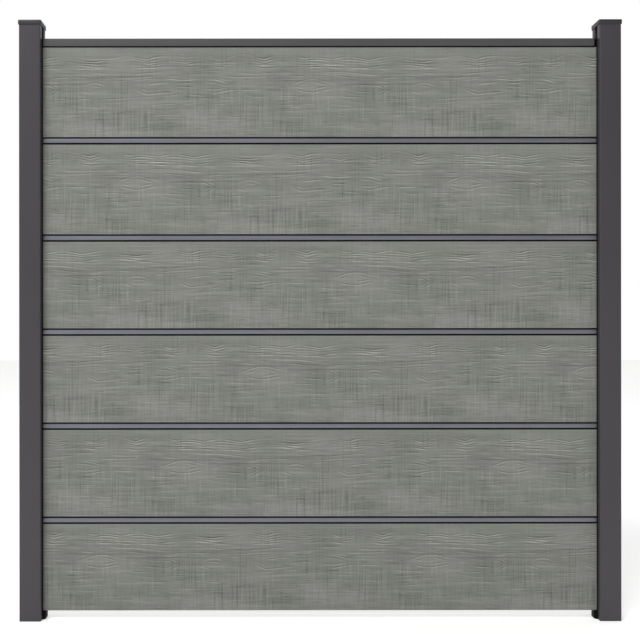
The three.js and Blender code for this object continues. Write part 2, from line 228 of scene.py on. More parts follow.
def turned(outline, clockwise):
    """The outline as an array, run in the sense that is asked for."""
    points = np.array(outline, float)
    following = np.roll(points, -1, axis=0)
    area = (points[:, 0] * following[:, 1] - following[:, 0] * points[:, 1]).sum()
    return points[::-1] if (area < 0) != clockwise else points


# ---------------------------------------------------------------- meshes
SHARP_ANGLE = math.radians(32)  # faces that meet at less than this are shaded as one
BEVEL_ANGLE = math.radians(35)  # edges of moulded pieces that turn more than this are rounded
FLAT_ANGLE = math.radians(1)  # CAD triangles that meet at less than this are made one face
MERGE_DISTANCE = 1e-6


def box_mm(node):
    """A CAD node's lowest and highest corner in millimetres."""
    low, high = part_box(node)
    return np.array(low) / MM, np.array(high) / MM


def finished(name, mesh, body, nodes, materials):
    """Puts a mesh in the scene as a finished piece that stands for its CAD nodes."""
    for material in materials:
        mesh.materials.append(material)
    piece = bpy.data.objects.new(name, mesh)
    bpy.context.scene.collection.objects.link(piece)
    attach(piece, body)
    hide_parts(*nodes)


def smoothed(mesh):
    """Shades a mesh smooth, with its sharp edges kept sharp."""
    mesh.shade_smooth()
    mesh.set_sharp_from_angle(angle=SHARP_ANGLE)
    return mesh


def swept_mesh(name, loops):
    """A closed mesh through loops of stations, the first one outside and the others holes.

    Each loop is an array (stations, points, 3). All begin in one plane and end in another."""
    corners, quads, start = [], [], 0
    first_ring, last_ring = [], []
    for loop in loops:
        stations, points, _ = loop.shape
        index = start + np.arange(stations * points).reshape(stations, points)
        beside = np.roll(index, -1, axis=1)
        quads.append(np.stack([index[:-1], beside[:-1], beside[1:], index[1:]], axis=-1).reshape(-1, 4))
        corners.append(loop.reshape(-1, 3) * MM)
        first_ring.append(index[0])
        last_ring.append(index[-1])
        start += stations * points
    corners = np.concatenate(corners)
    ends = []
    for rings in (first_ring, last_ring):
        whole = np.concatenate(rings).tolist()
        triangles = tessellate_polygon([[Vector(corners[i]) for i in ring] for ring in rings])
        ends += [(whole[a], whole[b], whole[c]) for a, b, c in triangles]
    mesh = bpy.data.meshes.new(name)
    mesh.from_pydata(corners.tolist(), [], np.concatenate(quads).tolist() + ends)
    shape = bmesh.new()
    shape.from_mesh(mesh)
    bmesh.ops.recalc_face_normals(shape, faces=shape.faces)
    shape.to_mesh(mesh)
    shape.free()
    return mesh


def extruded_mesh(name, outlines, axis, start, end):
    """A section, the outside first and then its holes, drawn out along X or Z between two places."""
    loops = []
    for i, outline in enumerate(outlines):
        flat = turned(outline, clockwise=i > 0)
        stations = []
        for place in (start, end):
            column = np.full((len(flat), 1), float(place))
            stations.append(np.hstack([column, flat] if axis == "X" else [flat, column]))
        loops.append(np.array(stations))
    return smoothed(swept_mesh(name, loops))


def moulded_mesh(name, node, radius):
    """A copy of a CAD node's mesh with its flat faces made whole and its sharp edges rounded."""
    shape = bmesh.new()
    shape.from_mesh(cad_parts[node].data)
    bmesh.ops.remove_doubles(shape, verts=shape.verts, dist=MERGE_DISTANCE)
    bmesh.ops.dissolve_limit(shape, angle_limit=FLAT_ANGLE, verts=shape.verts, edges=shape.edges)
    sharp = [e for e in shape.edges if e.is_manifold and e.calc_face_angle() > BEVEL_ANGLE]
    bmesh.ops.bevel(
        shape, geom=sharp, offset=radius * MM, offset_type="OFFSET", segments=3, profile=0.5,
        affect="EDGES", clamp_overlap=True)
    mesh = bpy.data.meshes.new(name)
    shape.to_mesh(mesh)
    shape.free()
    return smoothed(mesh)


# ---------------------------------------------------------------- materials
MIX_FACTOR, MIX_A, MIX_B, MIX_RESULT = 0, 6, 7, 2  # a colour Mix node's sockets, by number
NOISE_MOST = (0.3, 0.7)  # most of a noise texture's values lie between these
NOISE_ALL = (0.24, 0.76)  # and nearly all of them between these

# Sizes of the patterns, in metres, as one size or along X, Y and Z.
COAT_FLECK = 0.0015  # coarser than the real flecks, which would not show
COAT_PEEL = 0.0022
COAT_DRIFT = 0.35
DIE_LINES = (0.4, 0.0009, 0.0009)  # further apart than the real ones, which would not show
METAL_CLOUD = 0.2
MOULD_GRAIN = 0.0009  # coarser than the real grain, which would not show
FLOW_LINES = (0.0006, 0.0006, 0.12)
CORE_FIBRES = (0.008, 0.001, 0.001)

# Their tones as shares of the colour, from the darkest to the palest.
COAT_FLECK_TONES = (0.86, 1.12)
COAT_DRIFT_TONES = (0.94, 1.05)
DIE_LINE_TONES = (0.9, 1.08)
METAL_CLOUD_TONES = (0.95, 1.05)
MOULD_GRAIN_TONES = (0.85, 1.15)
CORE_FIBRE_TONES = (0.75, 1.3)

# How rough the surfaces are, from their smoothest to their roughest places.
COAT_ROUGHNESS = (0.42, 0.54)
METAL_ROUGHNESS = (0.5, 0.64)
CAP_ROUGHNESS = 0.5
FITTING_ROUGHNESS = 0.52
MOULD_ROUGHNESS_SWING = 0.06

# painted shade: the joint strips' hidden parts are coloured this black to stand for the shade in the
# joints
JOINT_SHADE_BLACK = linear("#0f0f10")
MOULDED_BLACK = linear("#070707")
RUBBER_BLACK = linear("#070707")
RUBBER_BLOOM = linear("#121211")


def add(tree, kind, inputs=(), **settings):
    """Adds a node, sets it, and fills its sockets with values or with other sockets."""
    node = tree.nodes.new(kind)
    for name, value in settings.items():
        setattr(node, name, value)
    for name, value in dict(inputs).items():
        if isinstance(value, bpy.types.NodeSocket):
            tree.links.new(value, node.inputs[name])
        else:
            node.inputs[name].default_value = value
    return node


def surface(name):
    """A new material's node tree and its Principled shader."""
    material = bpy.data.materials.new(name)
    material.use_nodes = True
    tree = material.node_tree
    return material, tree, tree.nodes["Principled BSDF"]


def set_values(shader, **values):
    """Sets the shader's own sockets, with words joined by underscores."""
    for name, value in values.items():
        shader.inputs[name.replace("_", " ")].default_value = value


def scaled(tree, vector, factors):
    """A vector or colour, multiplied by three factors or by one value."""
    product = add(tree, "ShaderNodeVectorMath", {0: vector, 1: factors}, operation="MULTIPLY")
    return product.outputs["Vector"]


def noise(tree, vector, sizes, detail=2.0):
    """Noise around 0.5 whose features have that size, or those sizes along the vector's three axes."""
    if isinstance(sizes, tuple):
        vector = scaled(tree, vector, tuple(1 / size for size in sizes))
        sizes = 1.0
    return add(tree, "ShaderNodeTexNoise", {
        "Vector": vector, "Scale": 1 / sizes, "Detail": detail}).outputs["Fac"]


def spread(tree, value, reach, span=(0.0, 1.0)):
    """A value that runs over the span, stretched to run over the reach and held at both its ends."""
    return add(tree, "ShaderNodeMapRange", {
        "Value": value, "From Min": span[0], "From Max": span[1],
        "To Min": reach[0], "To Max": reach[1]}).outputs["Result"]


def times(tree, a, b):
    """The product of two values."""
    return add(tree, "ShaderNodeMath", {0: a, 1: b}, operation="MULTIPLY").outputs["Value"]


def blended(tree, share, first, second):
    """The colour that lies that share of the way from the first to the second."""
    return add(tree, "ShaderNodeMix", {
        MIX_FACTOR: share, MIX_A: first, MIX_B: second}, data_type="RGBA").outputs[MIX_RESULT]


def embossed(tree, shader, height, strength, depth):
    """Lets a height, of which 1 stands for that depth in metres, tilt the shader's normal."""
    bump = add(tree, "ShaderNodeBump", {"Height": height, "Strength": strength, "Distance": depth})
    tree.links.new(bump.outputs["Normal"], shader.inputs["Normal"])


def powder_coat(name, colour):
    """Powder-coated aluminium, sprayed and baked: a satin skin with fine orange peel, a trace of fleck
    and a tone that drifts a little from place to place."""
    material, tree, shader = surface(name)
    place = add(tree, "ShaderNodeTexCoord").outputs["Object"]
    fleck = noise(tree, place, COAT_FLECK)
    dark, light = ((*(c * tone for c in colour), 1) for tone in COAT_FLECK_TONES)
    flecked = blended(tree, fleck, dark, light)
    drift = spread(tree, noise(tree, place, COAT_DRIFT), COAT_DRIFT_TONES, NOISE_MOST)
    tree.links.new(scaled(tree, flecked, drift), shader.inputs["Base Color"])
    embossed(tree, shader, noise(tree, place, COAT_PEEL, detail=1.0), strength=0.25, depth=0.0001)
    tree.links.new(spread(tree, fleck, COAT_ROUGHNESS), shader.inputs["Roughness"])
    set_values(shader, IOR=1.5)
    return material


def anodised_aluminium(name, colour):
    """Anodised aluminium, pressed through a die and etched: fine lines run along the strip, and they
    spread the light across it."""
    material, tree, shader = surface(name)
    place = add(tree, "ShaderNodeTexCoord").outputs["Object"]
    lines = noise(tree, place, DIE_LINES, detail=3.0)
    line_tone = spread(tree, lines, DIE_LINE_TONES, NOISE_MOST)
    cloud_tone = spread(tree, noise(tree, place, METAL_CLOUD), METAL_CLOUD_TONES, NOISE_MOST)
    toned = scaled(tree, colour, times(tree, line_tone, cloud_tone))
    tree.links.new(toned, shader.inputs["Base Color"])
    embossed(tree, shader, lines, strength=0.3, depth=0.00005)
    tree.links.new(spread(tree, lines, METAL_ROUGHNESS), shader.inputs["Roughness"])
    set_values(shader, Metallic=1.0)
    return material


def moulded_plastic(name, colour, roughness, gloss):
    """Injection-moulded nylon with an eroded tool texture: a fine even grain that breaks up the shine."""
    material, tree, shader = surface(name)
    place = add(tree, "ShaderNodeTexCoord").outputs["Object"]
    grain = noise(tree, place, MOULD_GRAIN)
    toned = scaled(tree, colour, spread(tree, grain, MOULD_GRAIN_TONES))
    tree.links.new(toned, shader.inputs["Base Color"])
    embossed(tree, shader, grain, strength=0.3, depth=0.00008)
    reach = (roughness - MOULD_ROUGHNESS_SWING, roughness + MOULD_ROUGHNESS_SWING)
    tree.links.new(spread(tree, grain, reach), shader.inputs["Roughness"])
    set_values(shader, IOR=1.53, Specular_IOR_Level=gloss)
    return material


def seal_rubber(name):
    """Extruded EPDM rubber: dull black with faint flow lines and a grey bloom along its length."""
    material, tree, shader = surface(name)
    place = add(tree, "ShaderNodeTexCoord").outputs["Object"]
    flow = noise(tree, place, FLOW_LINES)
    bloom = blended(tree, flow, (*RUBBER_BLACK, 1), (*RUBBER_BLOOM, 1))
    tree.links.new(bloom, shader.inputs["Base Color"])
    embossed(tree, shader, flow, strength=0.3, depth=0.00005)
    set_values(shader, Roughness=0.8, IOR=1.52, Specular_IOR_Level=0.2)
    return material


# Sizes of what is drawn on the boards' capped faces, in metres: length along the board, width across it.
STREAK = (0.2, 0.0055)  # drawn-out wood streaks
DASH = (0.045, 0.0048)  # shorter ones between them
SAW_MARK = (0.0046, 0.09)
SAW_SCORE = (0.0046, 0.12)
SAW_GROUP = (0.1, 0.09)  # saw marks come in groups of this size
BAND = (0.3, 0.0055)
CLOUD = (0.11, 0.04)
WIDE_CLOUD = (0.6, 0.12)
FINE_FIBRE = (0.018, 0.0009)
PATCH = (0.25, 0.09)
PATCH_LEVELS = (0.36, 0.64)  # the warmer patches come in between these levels of their noise
# The noise that groups the saw marks, and the share of them that shows at its two levels.
SAW_GROUP_LEVELS, SAW_GROUP_SHARES = (0.4, 0.62), (0.35, 1.0)
# Heights on a board, in metres, and the share of the marks that shows at each.
SAWN_HEIGHTS, SAWN_SHARES = (0.19, 0.12), (0.6, 1.0)  # saw marks are strongest over the lower part
QUIET_HEIGHTS, QUIET_SHARES = (0.262, 0.235), (0.25, 1.0)  # the strip above the flame figure is quiet
FACE_TONES, FACE_ROUGHNESS = (0.75, 1.25), (0.82, 0.64)  # the paler the face, the smoother


def capped_composite(name, settings):
    """Wood-plastic composite with a co-extruded cap, embossed hot by a roller: a matt weathered grey,
    with painted shade down in the pressed grain and a painted highlight on its lips, which face up to the
    light, with drawn-out streaks and short saw marks across them."""
    material, tree, shader = surface(name)
    roller = add(tree, "ShaderNodeAttribute", attribute_name="roller").outputs["Vector"]
    grain = add(tree, "ShaderNodeAttribute", attribute_name="grain").outputs["Fac"]

    def roller_noise(size, detail=2.0):
        """Noise that repeats with the roller, with features of that length and width."""
        length, width = size
        return noise(tree, roller, (length, length, width), detail)

    def strokes(size, detail):
        """Separate strokes from -1 to 1 on a quiet ground: noise, cubed."""
        level = spread(tree, roller_noise(size, detail), (-1.0, 1.0), NOISE_ALL)
        return times(tree, times(tree, level, level), level)

    def drift(size, detail=2.0):
        """A soft change from -1 to 1."""
        return spread(tree, roller_noise(size, detail), (-1.0, 1.0), NOISE_MOST)

    height = add(tree, "ShaderNodeSeparateXYZ", {"Vector": roller}).outputs["Z"]
    low = spread(tree, height, SAWN_SHARES, SAWN_HEIGHTS)
    grouped = spread(tree, roller_noise(SAW_GROUP), SAW_GROUP_SHARES, SAW_GROUP_LEVELS)
    sawn = times(tree, low, grouped)
    below = spread(tree, height, QUIET_SHARES, QUIET_HEIGHTS)
    # each layer of tone, and how far it swings the whole
    layers = (
        (drift(BAND, detail=1.0), 0.04),
        (times(tree, strokes(STREAK, detail=1.0), below), 0.26),
        (times(tree, strokes(DASH, detail=1.0), below), 0.22),
        (times(tree, strokes(SAW_MARK, detail=0.0), sawn), 0.16),
        (times(tree, drift(SAW_SCORE, detail=0.0), sawn), 0.045),
        (drift(CLOUD), 0.08),
        (drift(WIDE_CLOUD), 0.05),
        (drift(FINE_FIBRE), 0.05),
    )
    tone = 1.0
    for layer, swing in layers:
        tone = add(tree, "ShaderNodeMath", {0: layer, 1: swing, 2: tone},
                   operation="MULTIPLY_ADD").outputs["Value"]

    patch = spread(tree, roller_noise(PATCH), (0.0, 1.0), PATCH_LEVELS)
    ground = blended(tree, patch, (*settings.face_colour, 1), (*settings.patch_colour, 1))
    # painted shade in each pressed groove and a painted highlight on the lip below it, which faces up to
    # the light
    for colour, end in ((settings.groove_shade_colour, -1.0), (settings.lip_highlight_colour, 1.0)):
        share = spread(tree, grain, (0.0, 1.0), (0.0, end))
        ground = blended(tree, share, ground, (*colour, 1))
    tree.links.new(scaled(tree, ground, tone), shader.inputs["Base Color"])
    embossed(tree, shader, tone, strength=0.5, depth=0.0004)
    tree.links.new(spread(tree, tone, FACE_ROUGHNESS, FACE_TONES), shader.inputs["Roughness"])
    set_values(shader, IOR=1.49)
    return material


def bare_composite(name, colour):
    """Uncapped wood-plastic composite as it leaves the die: dark, dull, with short wood fibres in it. Its
    near-black colour is partly painted shade for the shadow gaps in the joints.
    """
    material, tree, shader = surface(name)
    place = add(tree, "ShaderNodeTexCoord").outputs["Object"]
    fibres = noise(tree, place, CORE_FIBRES, detail=3.0)
    toned = scaled(tree, colour, spread(tree, fibres, CORE_FIBRE_TONES, NOISE_MOST))
    tree.links.new(toned, shader.inputs["Base Color"])
    embossed(tree, shader, fibres, strength=0.4, depth=0.0002)
    set_values(shader, Roughness=0.95, IOR=1.49, Specular_IOR_Level=0.25)
    return material


# ---------------------------------------------------------------- posts
def channel_wall():
    """The groove's rear wall with its T-slot, from the mouth to the floor."""
    mouth = (SLOT_SETBACK - SLOT_MOUTH / 2, SLOT_SETBACK + SLOT_MOUTH / 2)
    head = (SLOT_SETBACK - SLOT_HEAD / 2, SLOT_SETBACK + SLOT_HEAD / 2)
    radius = CHANNEL_MOUTH_RADIUS
    return [
        *arc(radius, CHANNEL_HALF + radius, radius, 180, 270, steps=4),
        (mouth[0], CHANNEL_HALF),
        (mouth[0], CHANNEL_HALF + SLOT_LIP),
        (head[0], CHANNEL_HALF + SLOT_LIP),
        (head[0], CHANNEL_HALF + SLOT_DEPTH),
        (head[1], CHANNEL_HALF + SLOT_DEPTH),
        (head[1], CHANNEL_HALF + SLOT_LIP),
        (mouth[1], CHANNEL_HALF + SLOT_LIP),
        (mouth[1], CHANNEL_HALF),
        (CHANNEL_DEPTH, CHANNEL_HALF),
    ]


def screw_port(x, y, facing):
    """A C-shaped screw port whose slit faces that angle in degrees."""
    outside = math.degrees(math.asin(PORT_SLIT / 2 / PORT_RING_RADIUS))
    inside = math.degrees(math.asin(PORT_SLIT / 2 / PORT_BORE_RADIUS))
    return [
        *arc(x, y, PORT_RING_RADIUS, facing + PORT_RING_TURN, facing + outside, steps=8),
        *arc(x, y, PORT_BORE_RADIUS, facing + inside, facing + 360 - inside, steps=16),
        *arc(x, y, PORT_RING_RADIUS, facing - outside, facing - PORT_RING_TURN, steps=8),
    ]


def post_section(size):
    """The post's outline and its chamber, with the inner face on 0 and the groove open towards it."""
    half, radius = size / 2, POST_CORNER_RADIUS
    rear = channel_wall()
    outline = [
        *arc(size - radius, radius - half, radius, -90, 0, steps=8),
        *arc(size - radius, half - radius, radius, 0, 90, steps=8),
        *arc(radius, half - radius, radius, 90, 180, steps=8),
        *rear,
        *[(x, -y) for x, y in reversed(rear)],
        *arc(radius, radius - half, radius, 180, 270, steps=8),
    ]
    near, far, side = POST_WALL, size - POST_WALL, half - POST_WALL
    ring = PORT_RING_RADIUS
    housing = (SLOT_SETBACK + SLOT_HEAD / 2 + POST_WALL, CHANNEL_HALF + SLOT_DEPTH + POST_WALL)
    behind = (CHANNEL_DEPTH + POST_WALL, CHANNEL_HALF + POST_WALL)
    chamber = [
        (behind[0], -behind[1]),
        (housing[0], -behind[1]),
        (housing[0], -housing[1]),
        (near, -housing[1]),
        *screw_port(near + ring, ring - side, 45),
        *screw_port(far - ring, ring - side, 135),
        *screw_port(far - ring, side - ring, 225),
        *screw_port(near + ring, side - ring, 315),
        (near, housing[1]),
        (housing[0], housing[1]),
        (housing[0], behind[1]),
        (behind[0], behind[1]),
    ]
    return [outline, chamber]


def from_inner_face(side, outlines):
    """Outlines drawn from a post's inner face outwards, put in place on that side of the fence."""
    low, high = box_mm(f"{side}_post")
    inner = high[0] if side == "left" else low[0]
    return [[(inner + SIDES[side] * x, y) for x, y in outline] for outline in outlines]


class SCREEN_OT_posts(bpy.types.Operator):
    """Builds the two extruded posts with their grooves, T-slots and screw ports"""

    bl_idname = "privacy_screen.posts"
    bl_label = "Posts"

    def execute(self, context):
        colour = context.scene.screen_metal.post_colour
        coat = powder_coat("Powder-coated aluminium, satin anthracite", colour)
        for side in SIDES:
            low, high = box_mm(f"{side}_post")
            section = from_inner_face(side, post_section(high[0] - low[0]))
            mesh = extruded_mesh(f"{side}_post_finished", section, "Z", low[2], high[2])
            finished(f"{side}_post_finished", mesh, "screen", [f"{side}_post"], [coat])
        return {"FINISHED"}


class SCREEN_OT_post_caps(bpy.types.Operator):
    """Builds the two push-fit caps on the posts"""

    bl_idname = "privacy_screen.post_caps"
    bl_label = "Post caps"

    def execute(self, context):
        colour = context.scene.screen_metal.cap_colour
        plastic = moulded_plastic("Moulded nylon, eroded anthracite", colour, CAP_ROUGHNESS, gloss=0.5)
        for side in SIDES:
            name = f"{side}_post_cap_finished"
            mesh = moulded_mesh(name, f"{side}_post_cap", MOULDED_EDGE)
            finished(name, mesh, f"{side}_cap", [f"{side}_post_cap"], [plastic])
        return {"FINISHED"}


# ---------------------------------------------------------------- gaskets
def gasket_section(show):
    """The rear gasket: a head in the T-slot, a ribbed fin along the wall and a bead at the mouth."""
    head_half = SLOT_HEAD / 2 - SEAT_GAP
    neck_half = SLOT_MOUTH / 2 - SEAT_GAP
    fin_outside = CHANNEL_HALF - SEAT_GAP
    rib_tip = fin_outside - GASKET_FIN
    fin_inside = rib_tip + GASKET_RIB
    head_start = CHANNEL_HALF + SLOT_LIP + SEAT_GAP
    head_end = CHANNEL_HALF + SLOT_DEPTH - SEAT_GAP
    ribs = []
    for i in reversed(range(GASKET_RIBS)):
        x = GASKET_REACH - GASKET_FIN / 2 - i * GASKET_RIB_PITCH
        ribs += [(x - GASKET_RIB, fin_inside), (x, rib_tip), (x + GASKET_RIB, fin_inside)]
    return [
        *ribs,
        (GASKET_REACH, fin_inside),
        (GASKET_REACH, fin_outside - GASKET_FIN / 2),
        (GASKET_REACH - GASKET_FIN / 2, fin_outside),
        (SLOT_SETBACK + neck_half, fin_outside),
        (SLOT_SETBACK + neck_half, head_start),
        (SLOT_SETBACK + head_half, head_start),
        (SLOT_SETBACK + neck_half, head_end),
        (SLOT_SETBACK - neck_half, head_end),
        (SLOT_SETBACK - head_half, head_start),
        (SLOT_SETBACK - neck_half, head_start),
        (SLOT_SETBACK - neck_half, fin_outside),
        (CHANNEL_MOUTH_RADIUS, fin_outside),
        *arc(GASKET_NOSE - show, rib_tip + GASKET_NOSE, GASKET_NOSE, 90, 270, steps=12),
    ]


class SCREEN_OT_gaskets(bpy.types.Operator):
    """Builds the four rubber gaskets that hold the boards' ends in the grooves"""

    bl_idname = "privacy_screen.gaskets"
    bl_label = "Gaskets"

    def execute(self, context):
        rubber = seal_rubber("Extruded EPDM rubber, dull black")
        for side in SIDES:
            post_low, post_high = box_mm(f"{side}_post")
            for place, sign in (("rear", 1), ("front", -1)):
                node = f"{side}_{place}_gasket"
                low, high = box_mm(node)
                show = high[0] - post_high[0] if side == "left" else post_low[0] - low[0]
                section = from_inner_face(side, [[(x, sign * y) for x, y in gasket_section(show)]])
                mesh = extruded_mesh(f"{node}_finished", section, "Z", low[2], high[2])
                finished(f"{node}_finished", mesh, "screen", [node], [rubber])
        return {"FINISHED"}


# ---------------------------------------------------------------- boards
# The roller's grain, in millimetres down from the top of a face that is GRAIN_FACE high. The flame figure
# is a stack of lines that run together in cusps and fan out upwards between them. The lens figure has
# nested arches on both sides of its axis. The rest are single lines. A line's strength runs from 0 to 1.
GRAIN_FACE = 276.0
WAVE_SIZE = 1.4  # gives a roller wave a root mean square of 0.7
# a line's strength along its run: its mean, its swing and its least
RUN_MEAN = 0.45
RUN_SWING = 0.9
RUN_LEAST = 0.05
FLAME_BOTTOM = 63.0
FLAME_LINES = 5
FLAME_PITCH = 6.6  # distance between its lines at a cusp
FLAME_RISE = 11.0  # how far the uppermost line rises between cusps
FLAME_WANDER = 1.6  # how far each of its lines strays by itself
FLAME_BOOST = 0.2  # how much stronger its lines are than the others
CUSP_STRENGTH = 1.3  # the flame's strength at a cusp, where it is held down to 1
CUSP_FALL = 1.1  # how fast it falls from there as the lines fan out
FAN_STRENGTH = 0.15  # and its least
LENS_AXIS = 122.0
LENS_LINES = 2  # on each side of the axis
LENS_SPACING = 10.0  # distance between its lines where it is open
LENS_REACH = 24.0
# how far the lens closes, as a share of its reach: the mean and the swing
LENS_CLOSED = 0.35
LENS_CLOSED_SWING = 0.65
LENS_STRENGTH = 0.6
CLOSED_PITCH = 2.6  # distance between its lines where its arches have closed
ARCH_END = 4.0  # a line comes up over this distance from its arch's point
LINE_WANDER = 2.5  # how far each single line strays by itself
GRAIN_LINES = (  # place and strength
    (9.0, 0.15), (78.0, 0.5), (90.0, 0.55), (99.0, 0.35), (152.0, 0.45), (163.0, 0.3), (178.0, 0.35),
    (195.0, 0.25), (212.0, 0.3), (229.0, 0.2), (246.0, 0.25), (262.0, 0.15),
)
GRAIN_SWAY = 6.0  # how far the lines swing up and down together
GRAIN_SEED = 7
GRAIN_STATION = 6.0  # distance between the mesh's stations along a board
# Rows across a line, from its upper flank down: place, tone from -1 for painted shade in the pressed
# groove to 1 for a painted highlight on the lip, and depth.
LINE_ROWS = ((-2.6, 0.0, 0.0), (0.0, -1.0, 1.0), (2.8, 1.0, 0.05), (5.0, 0.0, 0.0))
LINE_WIDTH = 7.6  # from the first row to the last
LINE_ROOM = 0.94  # lines that are closer than their width narrow to this share of their distance
# How far round the roller each board's left end starts, as a share of a turn.
ROLLER_STARTS = (0.32, 0.07, 0.83, 0.55, 0.21, 0.68)
REAR_TURN = 0.5  # the rear face is this far round the roller from the front one
# the core's near-black colour is partly painted shade in the boards' shadow gaps
CAP_SLOT, CORE_AND_GAP_SHADE_SLOT = 0, 1  # a board's two materials


def roller_wave(turns, rng, slowest, fastest):
    """A smooth random wave that repeats with each turn of the roller, mostly between -1 and 1.

    It is a sum of waves that go round slowest to fastest times in a turn."""
    rounds = np.arange(slowest, fastest + 1)
    swing = rng.normal(size=len(rounds)) / np.sqrt(rounds)
    offset = rng.uniform(0, 2 * np.pi, len(rounds))
    wave = (swing[:, None] * np.cos(2 * np.pi * rounds[:, None] * turns + offset[:, None])).sum(0)
    return wave / math.sqrt(2 * (swing ** 2).sum()) * WAVE_SIZE


def come_and_go(turns, rng):
    """How strong a line is along its run: it fades out and comes back every hundred millimetres or so."""
    return np.clip(RUN_MEAN + RUN_SWING * roller_wave(turns, rng, 3, 18), RUN_LEAST, 1)


def flame_lines(turns, rng):
    """The flame figure's lines from its uppermost down, as (place, strength) at each station."""
    wave = np.abs(roller_wave(turns, rng, 1, 5))
    near_cusp = np.clip(CUSP_STRENGTH - CUSP_FALL * wave, FAN_STRENGTH, 1)
    lines = []
    for i in range(FLAME_LINES):
        at_cusp = FLAME_BOTTOM - (FLAME_LINES - 1 - i) * FLAME_PITCH
        rise = FLAME_RISE * (FLAME_LINES - i) / FLAME_LINES * wave
        place = at_cusp - rise + FLAME_WANDER * roller_wave(turns, rng, 3, 12)
        lines.append((place, near_cusp * np.clip(FLAME_BOOST + come_and_go(turns, rng), 0, 1)))
    return lines


def lens_lines(turns, rng):
    """The lens figure's lines from its uppermost down, as (place, strength) at each station."""
    closed = LENS_CLOSED + LENS_CLOSED_SWING * roller_wave(turns, rng, 2, 6)
    closing = np.clip(LENS_REACH * closed, 0, LENS_REACH)
    above, below = [], []
    for i in range(1, LENS_LINES + 1):
        open_by = np.maximum(0, i * LENS_SPACING - closing)
        offset = np.hypot(open_by, i * CLOSED_PITCH)
        shown = LENS_STRENGTH * np.clip(open_by / ARCH_END, 0, 1)
        above.append((LENS_AXIS - offset, shown * come_and_go(turns, rng)))
        below.append((LENS_AXIS + offset, shown * come_and_go(turns, rng)))
    return above[::-1] + below


def grain_lines(turns, face):
    """Place down from the face's top and strength of each grain line, at each station."""
    rng = np.random.default_rng(GRAIN_SEED)
    lines = flame_lines(turns, rng) + lens_lines(turns, rng)
    for place, strength in GRAIN_LINES:
        wander = LINE_WANDER * roller_wave(turns, rng, 2, 7)
        lines.append((place + wander, strength * come_and_go(turns, rng)))
    lines.sort(key=lambda line: line[0].mean())
    sway = GRAIN_SWAY * roller_wave(turns, rng, 1, 4)
    places = np.array([place + sway * np.sin(np.pi * place / GRAIN_FACE) for place, _ in lines])
    return places * face / GRAIN_FACE, np.array([strength for _, strength in lines])


def face_rows(turns, face):
    """Rows of the embossed face from its lower edge up, as (height, tone, depth) at each station."""
    places, strengths = grain_lines(turns, face)
    gaps = np.diff(places, axis=0, prepend=-LINE_WIDTH, append=face + LINE_WIDTH)
    rows = []
    for place, strength, above, below in zip(places, strengths, gaps[:-1], gaps[1:]):
        for offset, tone, depth in LINE_ROWS:
            room = np.clip(LINE_ROOM * (above if offset < 0 else below) / LINE_WIDTH, 0, 1)
            rows.append((face - place - offset * room, tone * strength, depth * strength))
    return rows[::-1]


